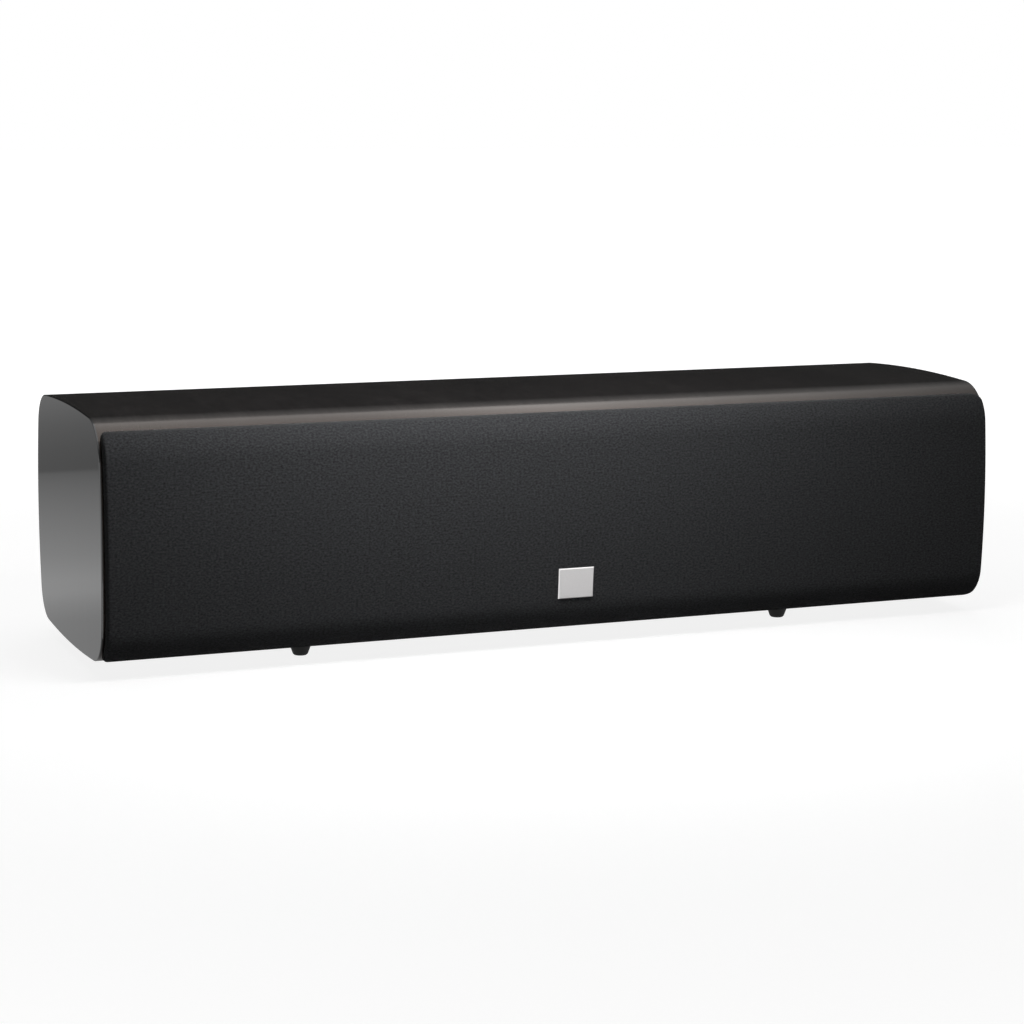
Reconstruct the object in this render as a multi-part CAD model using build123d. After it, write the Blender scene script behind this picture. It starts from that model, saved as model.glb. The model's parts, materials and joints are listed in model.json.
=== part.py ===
from build123d import *
import math
import os

os.makedirs("parts", exist_ok=True)

# Center channel speaker in millimetres: X along its length, front towards -Y, +Z up.
# The origin lies on the floor, under the middle of the cabinet.

# Cabinet section: four bowed sides, each a sagitta proud of its chord, and four round corners
cabinet_length = 578.0
chord_depth = 161.0
chord_height = 137.7
front_bow = 4.1
top_bow = 3.2
rear_bow = 7.8
bottom_bow = 3.5
front_top_radius = 24.9
rear_top_radius = 22.5
rear_bottom_radius = 22.5
front_bottom_radius = 23.4
inner_corner = 6.0
wall = 12.0
floor_clearance = 7.1

# End panels: thin caps over the whole section, each with a step inside a rebate of the wrap
cap_edge_thick = 0.9
panel_thick = 4.0
wrap_lip = 3.0
panel_round = 0.5
panel_clearance = 0.15

# Front baffle, glued into a pocket of the wrap against a ledge
baffle_setback = 3.0
baffle_thick = 15.0
baffle_edge_margin = 13.85
baffle_end_margin = 19.0
baffle_corner = 12.0
ledge_width = 7.0
ledge_thick = 6.0
glue_gap = 0.15

# Inner braces between the tweeter and the woofers
brace_woofer_offset = 70.0
brace_thick = 12.0
brace_rim = 14.0
brace_fit = 0.3

# Grille: a moulded frame with a cloth skin, standing proud of the wrap's front
grille_proud = 6.3
grille_end_gap = 2.2
grille_top_gap = 4.9
grille_low_reach = 0.4
grille_corner = 4.0
grille_seat_gap = 0.3
grille_trim = 1.0
cloth_thick = 0.6
cloth_gap = 0.05
pin_radius = 3.0
pin_entry = 8.0
pin_rise = 42.0
pin_woofer_offset = 72.0
pin_end_margin = 31.0
pin_fit = 0.06
socket_wall = 1.8
socket_floor = 2.0
socket_gap = 0.05
woofer_window_radius = 49.0
tweeter_window_radius = 36.0
end_window_width = 36.0
end_window_height = 76.0
end_window_margin = 62.0
end_window_corner = 8.0
badge_width = 23.0
badge_height = 18.7
badge_thick = 1.2
badge_bevel = 0.5
badge_rise = 30.5
badge_pad_margin = 3.0
badge_pin_radius = 1.0
badge_pin_length = 3.5
badge_pin_spread = 7.0
badge_pin_gap = 0.15

# Woofers
woofer_end_margin = 144.0
flange_radius = 52.0
flange_thick = 4.0
flange_gap = 0.3
landing_radius = 45.6
landing_depth = 1.5
basket_mouth_radius = 42.6
basket_wall = 2.6
basket_depth = 34.0
basket_floor = 2.5
basket_back_radius = 38.5
spider_seat_radius = 33.0
spider_seat_depth = 22.6
spider_seat_width = 4.0
basket_heel = 1.0
basket_window_count = 6
basket_window_width = 26.0
basket_window_start = 7.0
basket_window_height = 12.0
surround_thick = 0.8
roll_radius = 3.8
roll_centre = 37.5
gasket_thick = 1.0
cone_thick = 0.8
cone_depth = 16.3
cone_lap = 2.6
cap_radius = 15.5
cap_height = 5.0
cap_thick = 0.7
coil_radius = 12.6
coil_thick = 0.6
coil_length = 24.0
winding_thick = 0.7
winding_length = 6.0
spider_wave = 1.2
spider_waves = 3
spider_thick = 0.6
pole_radius = 11.6
pole_vent_radius = 4.0
gap_radius = 13.9
plate_radius = 38.0
plate_thick = 5.0
plate_chamfer = 1.0
magnet_radius = 40.0
magnet_bore = 20.0
magnet_thick = 15.0
running_gap = 0.3

# Tweeter
faceplate_radius = 46.0
faceplate_thick = 5.0
mouth_radius = 38.5
throat_radius = 16.1
throat_depth = 8.0
flare_bulge = 2.0
flare_bend = 0.3
collar_radius = 21.0
collar_depth = 10.0
faceplate_skirt = 34.0
dome_radius = 12.8
dome_height = 4.8
dome_thick = 0.5
dome_edge_depth = 9.0
dome_roll_height = 1.2
dome_skirt_length = 6.0
tweeter_pole_radius = 11.4
tweeter_pole_drop = 1.0
tweeter_gap_radius = 13.5
tweeter_plate_radius = 30.0
tweeter_plate_thick = 4.0
tweeter_magnet_radius = 33.0
tweeter_magnet_bore = 18.0
tweeter_magnet_thick = 12.0

# Driver screws, with pan heads
screw_shank = 1.6
screw_length = 13.0
screw_head_radius = 2.7
screw_head_height = 1.7
screw_gap = 0.25
screw_count = 4
woofer_screw_circle = 48.9
tweeter_screw_circle = 42.6

# Rear ports, flared at the mouth
port_end_margin = 64.0
port_bore = 19.0
port_wall = 2.0
port_length = 88.0
port_mouth_radius = 28.0
port_flare_depth = 14.0
port_flange_radius = 36.0
port_flange_thick = 3.0
port_hole_radius = 31.0
port_hole_gap = 0.3

# Terminal cup and binding posts
cup_flange_width = 78.0
cup_flange_height = 64.0
cup_flange_thick = 3.0
cup_corner = 8.0
cup_width = 54.0
cup_height = 40.0
cup_depth = 21.0
cup_wall = 3.0
cup_hole_gap = 0.3
cup_screw_inset = 6.0
flush_margin = 0.2
post_spread = 9.5
post_radius = 3.4
post_bore = 2.0
post_bore_depth = 14.0
post_reach = 17.5
post_tail = 12.0
post_fit = 0.1
collar_thick = 3.0
post_collar_radius = 6.5
nut_radius = 6.6
nut_length = 13.0
nut_flutes = 12
nut_flute_radius = 0.9
nut_gap = 0.3
lock_nut_radius = 5.0
lock_nut_thick = 3.0

# Crossover, carried on bosses behind the terminal cup
boss_radius = 4.0
boss_length = 20.0
boss_spread_x = 26.0
boss_spread_z = 18.0
board_width = 100.0
board_height = 72.0
board_thick = 1.6
board_corner = 3.0
coil_a_outer = 16.0
coil_a_inner = 8.0
coil_a_height = 14.0
coil_a_rise = 14.0
coil_b_outer = 13.0
coil_b_inner = 6.5
coil_b_height = 11.0
coil_b_drop = 20.0
capacitor_radius = 7.0
capacitor_length = 34.0
capacitor_spread = 40.0
resistor_width = 9.0
resistor_length = 24.0
resistor_drop = 20.0
small_capacitor_length = 26.0
small_capacitor_rise = 14.0
component_gap = 0.05

# Lead wires from the crossover to the drivers, carried under the cabinet's roof
wire_radius = 1.0
wire_pair_spacing = 5.0
wire_roof_room = 7.5
wire_lane_depth = 35.0
wire_hole_radius = 5.0
wire_drop_offset = 15.0
wire_board_spread = 30.0
wire_board_edge = 4.0
wire_end_gap = 0.3
wire_bend_share = 0.45
wire_step = 8.0
wire_sag = 1.0

# Feet, seated in flat round recesses under the wrap
foot_end_margin = 128.5
foot_inset = 34.1
foot_top_radius = 7.5
foot_bottom_radius = 4.6
foot_edge_round = 0.8
foot_seat_gap = 0.2
foot_counterbore_radius = 2.6
foot_counterbore_depth = 4.0
foot_screw_shank = 1.4
foot_screw_length = 12.0
foot_screw_head_radius = 2.4
foot_screw_head_height = 1.5

# Places worked out from the sizes above
chord_front = -(chord_depth + rear_bow - front_bow - grille_proud) / 2
chord_rear = chord_front + chord_depth
chord_middle = (chord_front + chord_rear) / 2
chord_bottom = floor_clearance + bottom_bow
chord_top = chord_bottom + chord_height
axis_height = (chord_bottom + chord_top) / 2
rear_crown = chord_rear + rear_bow
half_length = cabinet_length / 2
wrap_end = half_length - cap_edge_thick
rebate_end = half_length - panel_thick
woofer_spread = half_length - woofer_end_margin
brace_spread = woofer_spread - brace_woofer_offset
pin_inner_spread = woofer_spread - pin_woofer_offset
pin_outer_spread = half_length - pin_end_margin
end_window_spread = half_length - end_window_margin
port_spread = half_length - port_end_margin
foot_spread = half_length - foot_end_margin
baffle_face = chord_front + baffle_setback
baffle_back = baffle_face + baffle_thick
cavity_front = baffle_back + ledge_thick
mouth_wall_radius = basket_mouth_radius + basket_wall
baffle_length = cabinet_length - 2 * baffle_end_margin
baffle_height = chord_height - 2 * baffle_edge_margin
grille_top = chord_top - grille_top_gap
grille_bottom = chord_bottom - grille_low_reach
grille_length = cabinet_length - 2 * grille_end_gap
frame_start = chord_front - wall - grille_proud
badge_centre = grille_bottom + badge_rise

pieces = {}


def curve_radius(chord, bow):
    """Radius of a side that stands bow proud of its chord."""
    return chord**2 / (8 * bow) + bow / 2


front_curve_radius = curve_radius(chord_height, front_bow)
top_curve_radius = curve_radius(chord_depth, top_bow)
rear_curve_radius = curve_radius(chord_height, rear_bow)
belly_curve_radius = curve_radius(chord_depth, bottom_bow)


def bowed_outline(shift=0.0, inset=0.0):
    """Cabinet section in Y and Z: the common area of four large discs, its corners rounded.

    It is moved forward by shift and drawn in on every side by inset.
    """
    front = chord_front - shift
    rear = chord_rear - shift
    middle = chord_middle - shift
    front_centre = front - front_bow + front_curve_radius
    top_centre = chord_top + top_bow - top_curve_radius
    rear_centre = rear + rear_bow - rear_curve_radius
    belly_centre = chord_bottom - bottom_bow + belly_curve_radius
    area = Pos(front_centre, axis_height) * Circle(front_curve_radius - inset)
    area &= Pos(middle, top_centre) * Circle(top_curve_radius - inset)
    area &= Pos(rear_centre, axis_height) * Circle(rear_curve_radius - inset)
    area &= Pos(middle, belly_centre) * Circle(belly_curve_radius - inset)
    corner_radii = [
        ((front, chord_top), front_top_radius),
        ((rear, chord_top), rear_top_radius),
        ((rear, chord_bottom), rear_bottom_radius),
        ((front, chord_bottom), front_bottom_radius),
    ]
    face = area.face()
    for corner, radius in corner_radii:
        vertex = face.vertices().sort_by_distance(corner)[0]
        face = face.fillet_2d(max(radius - inset, inner_corner), [vertex])
    return Sketch() + face


def cap_curve(radius, top, edge):
    """Arc of a round cap from its pole at depth top to its rim at depth edge."""
    height = edge - top
    sphere = (radius**2 + height**2) / (2 * height)
    waist = top + sphere - math.sqrt(sphere**2 - radius**2 / 4)
    return ThreePointArc((0, top), (radius / 2, waist), (radius, edge))


def band(low_y, high_y, low_z, high_z):
    """Rectangle in Y and Z between four limits."""
    centre = Pos((low_y + high_y) / 2, (low_z + high_z) / 2)
    return centre * Rectangle(high_y - low_y, high_z - low_z)


def along_x(profile, start, end):
    """Carry a Y and Z profile along X from start to end."""
    return extrude(Plane.YZ.offset(start) * profile, amount=end - start)


def along_y(profile, start, end):
    """Carry an X and Z profile along Y from start to end."""
    plane = Plane(origin=(0, start, 0), x_dir=(1, 0, 0), z_dir=(0, -1, 0))
    return extrude(plane * profile, amount=start - end)


def turned(*edges):
    """Turn a closed profile of radius and depth about the depth axis."""
    return revolve(Plane.XZ * make_face(edges), Axis.Z)


def ring(inner, outer, start, end):
    """Plain washer between two radii and two depths."""
    corners = [(inner, start), (outer, start), (outer, end), (inner, end)]
    return turned(Polyline(*corners, close=True))


def facing_front(x, y, z):
    """Place for a turned piece whose depth runs from the front to the rear."""
    return Pos(x, y, z) * Rot(-90, 0, 0)


def facing_rear(x, y, z):
    """Place for a turned piece whose depth runs from the rear to the front."""
    return Pos(x, y, z) * Rot(90, 0, 0)


def pan_screw(shank, length, head_radius, head_height):
    """Screw whose head stands before depth 0 and whose shank runs behind it."""
    head_edge = -0.35 * head_height
    profile = [
        Line((0, -head_height), (0.55 * head_radius, -head_height)),
        ThreePointArc(
            (0.55 * head_radius, -head_height),
            (0.88 * head_radius, -0.8 * head_height),
            (head_radius, head_edge),
        ),
        Polyline(
            (head_radius, head_edge),
            (head_radius, 0),
            (shank, 0),
            (shank, length - shank),
            (0, length),
            (0, -head_height),
        ),
    ]
    return turned(*profile)


def front_screw_places(spread, circle):
    """Screw places round a driver, on its diagonals."""
    places = []
    for index in range(screw_count):
        angle = math.radians(360 / screw_count * (index + 0.5))
        places.append((spread + circle * math.cos(angle), axis_height + circle * math.sin(angle)))
    return places


def flat_spot_drop(half_size, curve_radius):
    """How far a flat seat of this half size lies inside a bowed surface."""
    return curve_radius - math.sqrt(curve_radius**2 - half_size**2) + flush_margin


# Seats in the rear and the underside
cup_face = rear_crown - flat_spot_drop(cup_flange_height / 2, rear_curve_radius)
cup_seat = cup_face - cup_flange_thick
cup_floor = cup_face - cup_depth
cup_back = cup_floor - cup_wall
port_face = rear_crown - flat_spot_drop(port_flange_radius, rear_curve_radius)
port_seat = port_face - port_flange_thick
wire_lane = chord_top + top_bow - wall - wire_roof_room
wire_lane_y = cavity_front + wire_lane_depth
foot_reach = chord_depth / 2 - foot_inset + foot_top_radius
foot_height = floor_clearance + flat_spot_drop(foot_reach, belly_curve_radius)
foot_places = {
    "front_left_foot": (-foot_spread, chord_front + foot_inset),
    "front_right_foot": (foot_spread, chord_front + foot_inset),
    "rear_left_foot": (-foot_spread, chord_rear - foot_inset),
    "rear_right_foot": (foot_spread, chord_rear - foot_inset),
}
socket_radius = pin_radius + pin_fit + socket_wall
socket_depth = pin_entry + socket_floor
pin_places = []
for pin_x in (-pin_outer_spread, -pin_inner_spread, pin_inner_spread, pin_outer_spread):
    for pin_z in (axis_height - pin_rise, axis_height + pin_rise):
        pin_places.append((pin_x, pin_z))
woofer_screw_places = []
for side in (-1, 1):
    woofer_screw_places += front_screw_places(side * woofer_spread, woofer_screw_circle)
tweeter_screw_places = front_screw_places(0, tweeter_screw_circle)
cup_screw_places = []
for side_x in (-1, 1):
    for side_z in (-1, 1):
        screw_x = side_x * (cup_flange_width / 2 - cup_screw_inset)
        screw_z = axis_height + side_z * (cup_flange_height / 2 - cup_screw_inset)
        cup_screw_places.append((screw_x, screw_z))

# Cabinet wrap: a bowed tube with a front pocket, end rebates, rear cut-outs and foot seats
outline = bowed_outline()
inner_outline = bowed_outline(inset=wall)
cavity_band = band(cavity_front, rear_crown, 0, chord_top + wall)
wrap = along_x(outline, -wrap_end, wrap_end)
wrap -= along_x(inner_outline & cavity_band, -wrap_end, wrap_end)
rebate = bowed_outline(inset=wrap_lip)
wrap -= along_x(rebate, -wrap_end, -rebate_end)
wrap -= along_x(rebate, rebate_end, wrap_end)
pocket = Pos(0, axis_height) * RectangleRounded(
    baffle_length + 2 * glue_gap, baffle_height + 2 * glue_gap, baffle_corner + glue_gap
)
wrap -= along_y(pocket, chord_front - wall, baffle_back)
window = Pos(0, axis_height) * RectangleRounded(
    baffle_length - 2 * ledge_width, baffle_height - 2 * ledge_width, baffle_corner - ledge_width / 2
)
wrap -= along_y(window, baffle_back, cavity_front)
cup_recess = Pos(0, axis_height) * RectangleRounded(
    cup_flange_width + 2 * cup_hole_gap, cup_flange_height + 2 * cup_hole_gap, cup_corner + cup_hole_gap
)
wrap -= along_y(cup_recess, cup_seat, rear_crown + wall)
cup_hole = Pos(0, axis_height) * Rectangle(
    cup_width + 2 * cup_wall + 2 * cup_hole_gap, cup_height + 2 * cup_wall + 2 * cup_hole_gap
)
wrap -= along_y(cup_hole, cup_seat - 2 * wall, cup_seat)
for side in (-1, 1):
    port_centre = Pos(side * port_spread, axis_height)
    wrap -= along_y(port_centre * Circle(port_flange_radius + port_hole_gap), port_seat, rear_crown + wall)
    wrap -= along_y(port_centre * Circle(port_hole_radius), port_seat - 2 * wall, port_seat)
for foot_x, foot_y in foot_places.values():
    seat = Cylinder(
        foot_top_radius + foot_seat_gap, foot_height, align=(Align.CENTER, Align.CENTER, Align.MIN)
    )
    wrap -= Pos(foot_x, foot_y, 0) * seat
    pilot_end = foot_counterbore_depth + foot_screw_length + screw_gap
    pilot = Cylinder(
        foot_screw_shank + screw_gap, pilot_end, align=(Align.CENTER, Align.CENTER, Align.MIN)
    )
    wrap -= Pos(foot_x, foot_y, 0) * pilot
for screw_x, screw_z in cup_screw_places:
    pilot = Pos(screw_x, screw_z) * Circle(screw_shank + screw_gap)
    wrap -= along_y(pilot, cup_face - screw_length - screw_gap, cup_seat)
pieces["cabinet_wrap"] = wrap

# End panels: the cap's outer edge softly rounded, the step behind it
step_outline = bowed_outline(inset=wrap_lip + panel_clearance)
left_cap = along_x(outline, -half_length, -wrap_end)
left_cap = fillet(left_cap.faces().sort_by(Axis.X)[0].edges(), panel_round)
pieces["left_end_panel"] = left_cap + along_x(step_outline, -wrap_end, -rebate_end)
right_cap = along_x(outline, wrap_end, half_length)
right_cap = fillet(right_cap.faces().sort_by(Axis.X)[-1].edges(), panel_round)
pieces["right_end_panel"] = right_cap + along_x(step_outline, rebate_end, wrap_end)

# Front baffle with rebated driver holes and grille socket holes
board = Pos(0, axis_height) * RectangleRounded(baffle_length, baffle_height, baffle_corner)
baffle = along_y(board, baffle_face, baffle_back)
basket_hole_radius = mouth_wall_radius + flange_gap
for side in (-1, 1):
    centre = Pos(side * woofer_spread, axis_height)
    baffle -= along_y(centre * Circle(flange_radius + flange_gap), baffle_face, baffle_face + flange_thick)
    baffle -= along_y(centre * Circle(basket_hole_radius), baffle_face, baffle_back)
tweeter_centre = Pos(0, axis_height)
tweeter_hole_radius = tweeter_magnet_radius + flange_gap + collar_radius - throat_radius
baffle -= along_y(
    tweeter_centre * Circle(faceplate_radius + flange_gap), baffle_face, baffle_face + faceplate_thick
)
baffle -= along_y(tweeter_centre * Circle(tweeter_hole_radius), baffle_face, baffle_back)
for screw_x, screw_z in woofer_screw_places + tweeter_screw_places:
    pilot = Pos(screw_x, screw_z) * Circle(screw_shank + screw_gap)
    baffle -= along_y(pilot, baffle_face, baffle_face + screw_length + screw_gap)
for pin_x, pin_z in pin_places:
    hole = Pos(pin_x, pin_z) * Circle(socket_radius + socket_gap)
    baffle -= along_y(hole, baffle_face, baffle_face + socket_depth)
pieces["front_baffle"] = baffle

# Grille sockets: soft cups that take the grille's pins
sockets = []
for pin_x, pin_z in pin_places:
    centre = Pos(pin_x, pin_z)
    cup = along_y(centre * Circle(socket_radius), baffle_face, baffle_face + socket_depth)
    cup -= along_y(centre * Circle(pin_radius + pin_fit), baffle_face, baffle_face + pin_entry + pin_fit)
    sockets.append(cup)
pieces["grille_sockets"] = Compound(children=sockets)

# Braces: plates of the cavity's own section with a large opening
brace_band = band(cavity_front + brace_fit, rear_crown, 0, chord_top + wall)
brace_plate = bowed_outline(inset=wall + brace_fit) & brace_band
brace_opening_band = band(cavity_front + brace_rim, rear_crown, 0, chord_top + wall)
brace_opening = bowed_outline(inset=wall + brace_rim) & brace_opening_band
for name, side in (("left_brace", -1), ("right_brace", 1)):
    start = side * brace_spread - brace_thick / 2
    brace = along_x(brace_plate, start, start + brace_thick)
    brace -= along_x(brace_opening, start, start + brace_thick)
    brace -= along_x(Pos(wire_lane_y, wire_lane) * Circle(wire_hole_radius), start, start + brace_thick)
    pieces[name] = brace


def grille_block(skin):
    """Solid between the wrap's front and the grille's face, inset by skin on its outer sides."""
    front = bowed_outline(shift=grille_proud, inset=skin)
    crescent = front - bowed_outline(shift=grille_seat_gap)
    limits = band(frame_start, chord_middle, grille_bottom - grille_trim, grille_top + grille_trim)
    block = along_x(crescent & limits, -half_length, half_length)
    centre = Pos(0, (grille_top + grille_bottom) / 2)
    edge = centre * RectangleRounded(
        grille_length - 2 * skin, grille_top - grille_bottom - 2 * skin, grille_corner - skin
    )
    return block & along_y(edge, frame_start, chord_middle)


# Grille frame: windows over the drivers, a pad behind the badge, and pins
frame = grille_block(cloth_thick + cloth_gap)
for side in (-1, 1):
    opening = Pos(side * woofer_spread, axis_height) * Circle(woofer_window_radius)
    frame -= along_y(opening, frame_start, chord_middle)
    opening = Pos(side * end_window_spread, axis_height) * RectangleRounded(
        end_window_width, end_window_height, end_window_corner
    )
    frame -= along_y(opening, frame_start, chord_middle)
pad_top = badge_centre + badge_height / 2 + badge_pad_margin
pad_cut = Pos(0, pad_top + tweeter_window_radius) * Rectangle(
    2 * tweeter_window_radius, 2 * tweeter_window_radius
)
frame -= along_y((tweeter_centre * Circle(tweeter_window_radius)) & pad_cut, frame_start, chord_middle)
for pin_x, pin_z in pin_places:
    pin = Pos(pin_x, pin_z) * Circle(pin_radius)
    frame += along_y(pin, chord_front - front_bow - grille_seat_gap, baffle_face + pin_entry)

# Badge plate: a bare bevelled plate, tangent to the bowed cloth, with two pins
badge_angle = math.asin((badge_centre - axis_height) / front_curve_radius)
curve_centre = chord_front - grille_proud - front_bow + front_curve_radius
badge_plane = Plane(
    origin=(
        0,
        curve_centre - front_curve_radius * math.cos(badge_angle),
        axis_height + front_curve_radius * math.sin(badge_angle),
    ),
    x_dir=(1, 0, 0),
    z_dir=(0, -math.cos(badge_angle), math.sin(badge_angle)),
)
plate = Box(badge_width, badge_height, badge_thick, align=(Align.CENTER, Align.CENTER, Align.MIN))
plate = chamfer(plate.faces().sort_by(Axis.Z)[-1].edges(), badge_bevel)
for side in (-1, 1):
    pin = Cylinder(
        badge_pin_radius, badge_pin_length, align=(Align.CENTER, Align.CENTER, Align.MAX)
    )
    plate += Pos(side * badge_pin_spread, 0, 0) * pin
pieces["badge_plate"] = badge_plane * plate
badge_holes = []
for side in (-1, 1):
    hole = Cylinder(
        badge_pin_radius + badge_pin_gap,
        2 * (badge_pin_length + badge_pin_gap),
        align=(Align.CENTER, Align.CENTER, Align.CENTER),
    )
    badge_holes.append(badge_plane * (Pos(side * badge_pin_spread, 0, 0) * hole))

# Grille cloth: the skin over the frame's face and edges
cloth = grille_block(0) - grille_block(cloth_thick)
for hole in badge_holes:
    frame -= hole
    cloth -= hole
pieces["grille_frame"] = frame
pieces["grille_cloth"] = cloth


def woofer(side_name, centre_x):
    """One woofer, its depth measured behind the flange's front face."""
    place = facing_front(centre_x, baffle_face, axis_height)
    mouth = basket_mouth_radius
    basket = turned(
        Polyline(
            (landing_radius, 0),
            (flange_radius, 0),
            (flange_radius, flange_thick),
            (mouth_wall_radius, flange_thick),
            (basket_back_radius + basket_heel, basket_depth - basket_floor),
            (basket_back_radius, basket_depth),
            (gap_radius + basket_heel, basket_depth),
            (gap_radius + basket_heel, basket_depth - basket_floor),
            (spider_seat_radius, basket_depth - basket_floor),
            (spider_seat_radius, spider_seat_depth),
            (spider_seat_radius + spider_seat_width, spider_seat_depth),
            (mouth, flange_thick),
            (mouth, landing_depth),
            (landing_radius, landing_depth),
            close=True,
        )
    )
    window_cut = Box(mouth, basket_window_width, basket_window_height)
    window_depth = basket_window_start + basket_window_height / 2
    for location in PolarLocations(mouth, basket_window_count):
        basket -= location * Pos(0, 0, window_depth) * window_cut
    for index in range(screw_count):
        angle = 360 / screw_count * (index + 0.5)
        hole = Cylinder(screw_shank + screw_gap, 3 * flange_thick)
        basket -= Rot(0, 0, angle) * Pos(woofer_screw_circle, 0, 0) * hole
    pieces[side_name + "_woofer_frame"] = place * basket

    face = landing_depth - surround_thick
    roll_in = roll_centre - roll_radius
    roll_out = roll_centre + roll_radius
    lap_in = roll_in - cone_lap
    rim_out = landing_radius - running_gap
    surround = turned(
        Line((rim_out, face), (roll_out, face)),
        ThreePointArc((roll_out, face), (roll_centre, face - roll_radius), (roll_in, face)),
        Polyline(
            (roll_in, face),
            (lap_in, face),
            (lap_in, landing_depth),
            (roll_in + surround_thick, landing_depth),
        ),
        ThreePointArc(
            (roll_in + surround_thick, landing_depth),
            (roll_centre, face - roll_radius + surround_thick),
            (roll_out - surround_thick, landing_depth),
        ),
        Polyline((roll_out - surround_thick, landing_depth), (rim_out, landing_depth), (rim_out, face)),
    )
    pieces[side_name + "_woofer_surround"] = place * surround
    gasket = ring(roll_out + running_gap, rim_out, face - gasket_thick, face)
    pieces[side_name + "_woofer_gasket"] = place * gasket

    neck = coil_radius + running_gap
    neck_depth = landing_depth + cone_depth
    cone = turned(
        Polyline(
            (roll_in, landing_depth),
            (roll_in, landing_depth + cone_thick),
            (lap_in + cone_thick / 2, landing_depth + cone_thick),
            (neck, neck_depth + cone_thick),
            (neck, neck_depth),
            (lap_in, landing_depth),
            close=True,
        )
    )
    pieces[side_name + "_woofer_cone"] = place * cone
    slope = cone_depth / (lap_in - neck)
    cap_edge = landing_depth + (lap_in - cap_radius) * slope - running_gap
    cap_top = cap_edge - cap_height
    cap = turned(
        cap_curve(cap_radius, cap_top, cap_edge),
        Line((cap_radius, cap_edge), (cap_radius - cap_thick, cap_edge)),
        cap_curve(cap_radius - cap_thick, cap_top + cap_thick, cap_edge),
        Line((0, cap_top + cap_thick), (0, cap_top)),
    )
    pieces[side_name + "_woofer_dust_cap"] = place * cap
    coil_inner = coil_radius - coil_thick
    coil_end = neck_depth + coil_length
    coil = turned(
        Polyline(
            (coil_inner, neck_depth),
            (coil_radius, neck_depth),
            (coil_radius, coil_end - winding_length),
            (coil_radius + winding_thick, coil_end - winding_length),
            (coil_radius + winding_thick, coil_end),
            (coil_inner, coil_end),
            close=True,
        )
    )
    pieces[side_name + "_woofer_voice_coil"] = place * coil
    spider_face = spider_seat_depth - spider_thick
    wave_start = neck + spider_wave
    wave_step = (spider_seat_radius - wave_start) / (2 * spider_waves)
    front_line = [(neck, spider_face)]
    for index in range(2 * spider_waves + 1):
        lift = spider_wave if index % 2 else 0
        front_line.append((wave_start + index * wave_step, spider_face - lift))
    front_line.append((spider_seat_radius + spider_seat_width - running_gap, spider_face))
    back_line = [(radius, depth + spider_thick) for radius, depth in reversed(front_line)]
    pieces[side_name + "_woofer_spider"] = place * turned(Polyline(*front_line, *back_line, close=True))

    plate_end = basket_depth + plate_thick
    magnet_end = plate_end + magnet_thick
    yoke_end = magnet_end + plate_thick
    pieces[side_name + "_woofer_top_plate"] = place * ring(gap_radius, plate_radius, basket_depth, plate_end)
    pieces[side_name + "_woofer_magnet"] = place * ring(magnet_bore, magnet_radius, plate_end, magnet_end)
    yoke = turned(
        Polyline(
            (pole_vent_radius, basket_depth),
            (pole_radius, basket_depth),
            (pole_radius, magnet_end),
            (plate_radius, magnet_end),
            (plate_radius, yoke_end - plate_chamfer),
            (plate_radius - plate_chamfer, yoke_end),
            (pole_vent_radius, yoke_end),
            close=True,
        )
    )
    pieces[side_name + "_woofer_back_plate"] = place * yoke


woofer("left", -woofer_spread)
woofer("right", woofer_spread)
driver_screw = pan_screw(screw_shank, screw_length, screw_head_radius, screw_head_height)
pieces["woofer_screws"] = Compound(
    children=[facing_front(x, baffle_face, z) * driver_screw for x, z in woofer_screw_places]
)

# Tweeter: a dome in a flared faceplate, its motor behind
tweeter_place = facing_front(0, baffle_face, axis_height)
faceplate = turned(
    Line((mouth_radius, 0), (faceplate_radius, 0)),
    Polyline(
        (faceplate_radius, 0),
        (faceplate_radius, faceplate_thick),
        (faceplate_skirt, faceplate_thick),
        (collar_radius, collar_depth),
        (throat_radius, collar_depth),
        (throat_radius, throat_depth),
    ),
    ThreePointArc(
        (throat_radius, throat_depth),
        ((throat_radius + mouth_radius) / 2 - flare_bulge, throat_depth * flare_bend),
        (mouth_radius, 0),
    ),
)
for index in range(screw_count):
    hole = Cylinder(screw_shank + screw_gap, 3 * faceplate_thick)
    angle = 360 / screw_count * (index + 0.5)
    faceplate -= Rot(0, 0, angle) * Pos(tweeter_screw_circle, 0, 0) * hole
pieces["tweeter_faceplate"] = tweeter_place * faceplate
dome_top = dome_edge_depth - dome_height
dome_rim = throat_radius - running_gap
dome_roll_middle = (dome_radius + dome_rim) / 2
dome_foot = dome_edge_depth + dome_thick
dome = turned(
    cap_curve(dome_radius, dome_top, dome_edge_depth),
    ThreePointArc(
        (dome_radius, dome_edge_depth),
        (dome_roll_middle, dome_edge_depth - dome_roll_height),
        (dome_rim, dome_edge_depth),
    ),
    Polyline((dome_rim, dome_edge_depth), (dome_rim, dome_foot), (dome_radius - dome_thick, dome_foot)),
    cap_curve(dome_radius - dome_thick, dome_top + dome_thick, dome_foot),
    Line((0, dome_top + dome_thick), (0, dome_top)),
)
pieces["tweeter_dome"] = tweeter_place * dome
pieces["tweeter_voice_coil"] = tweeter_place * ring(
    dome_radius - 2 * dome_thick,
    dome_radius - dome_thick / 2,
    dome_foot,
    dome_foot + dome_skirt_length,
)
tweeter_plate_end = collar_depth + tweeter_plate_thick
tweeter_magnet_end = tweeter_plate_end + tweeter_magnet_thick
tweeter_yoke_end = tweeter_magnet_end + tweeter_plate_thick
pieces["tweeter_top_plate"] = tweeter_place * ring(
    tweeter_gap_radius, tweeter_plate_radius, collar_depth, tweeter_plate_end
)
pieces["tweeter_magnet"] = tweeter_place * ring(
    tweeter_magnet_bore, tweeter_magnet_radius, tweeter_plate_end, tweeter_magnet_end
)
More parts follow.
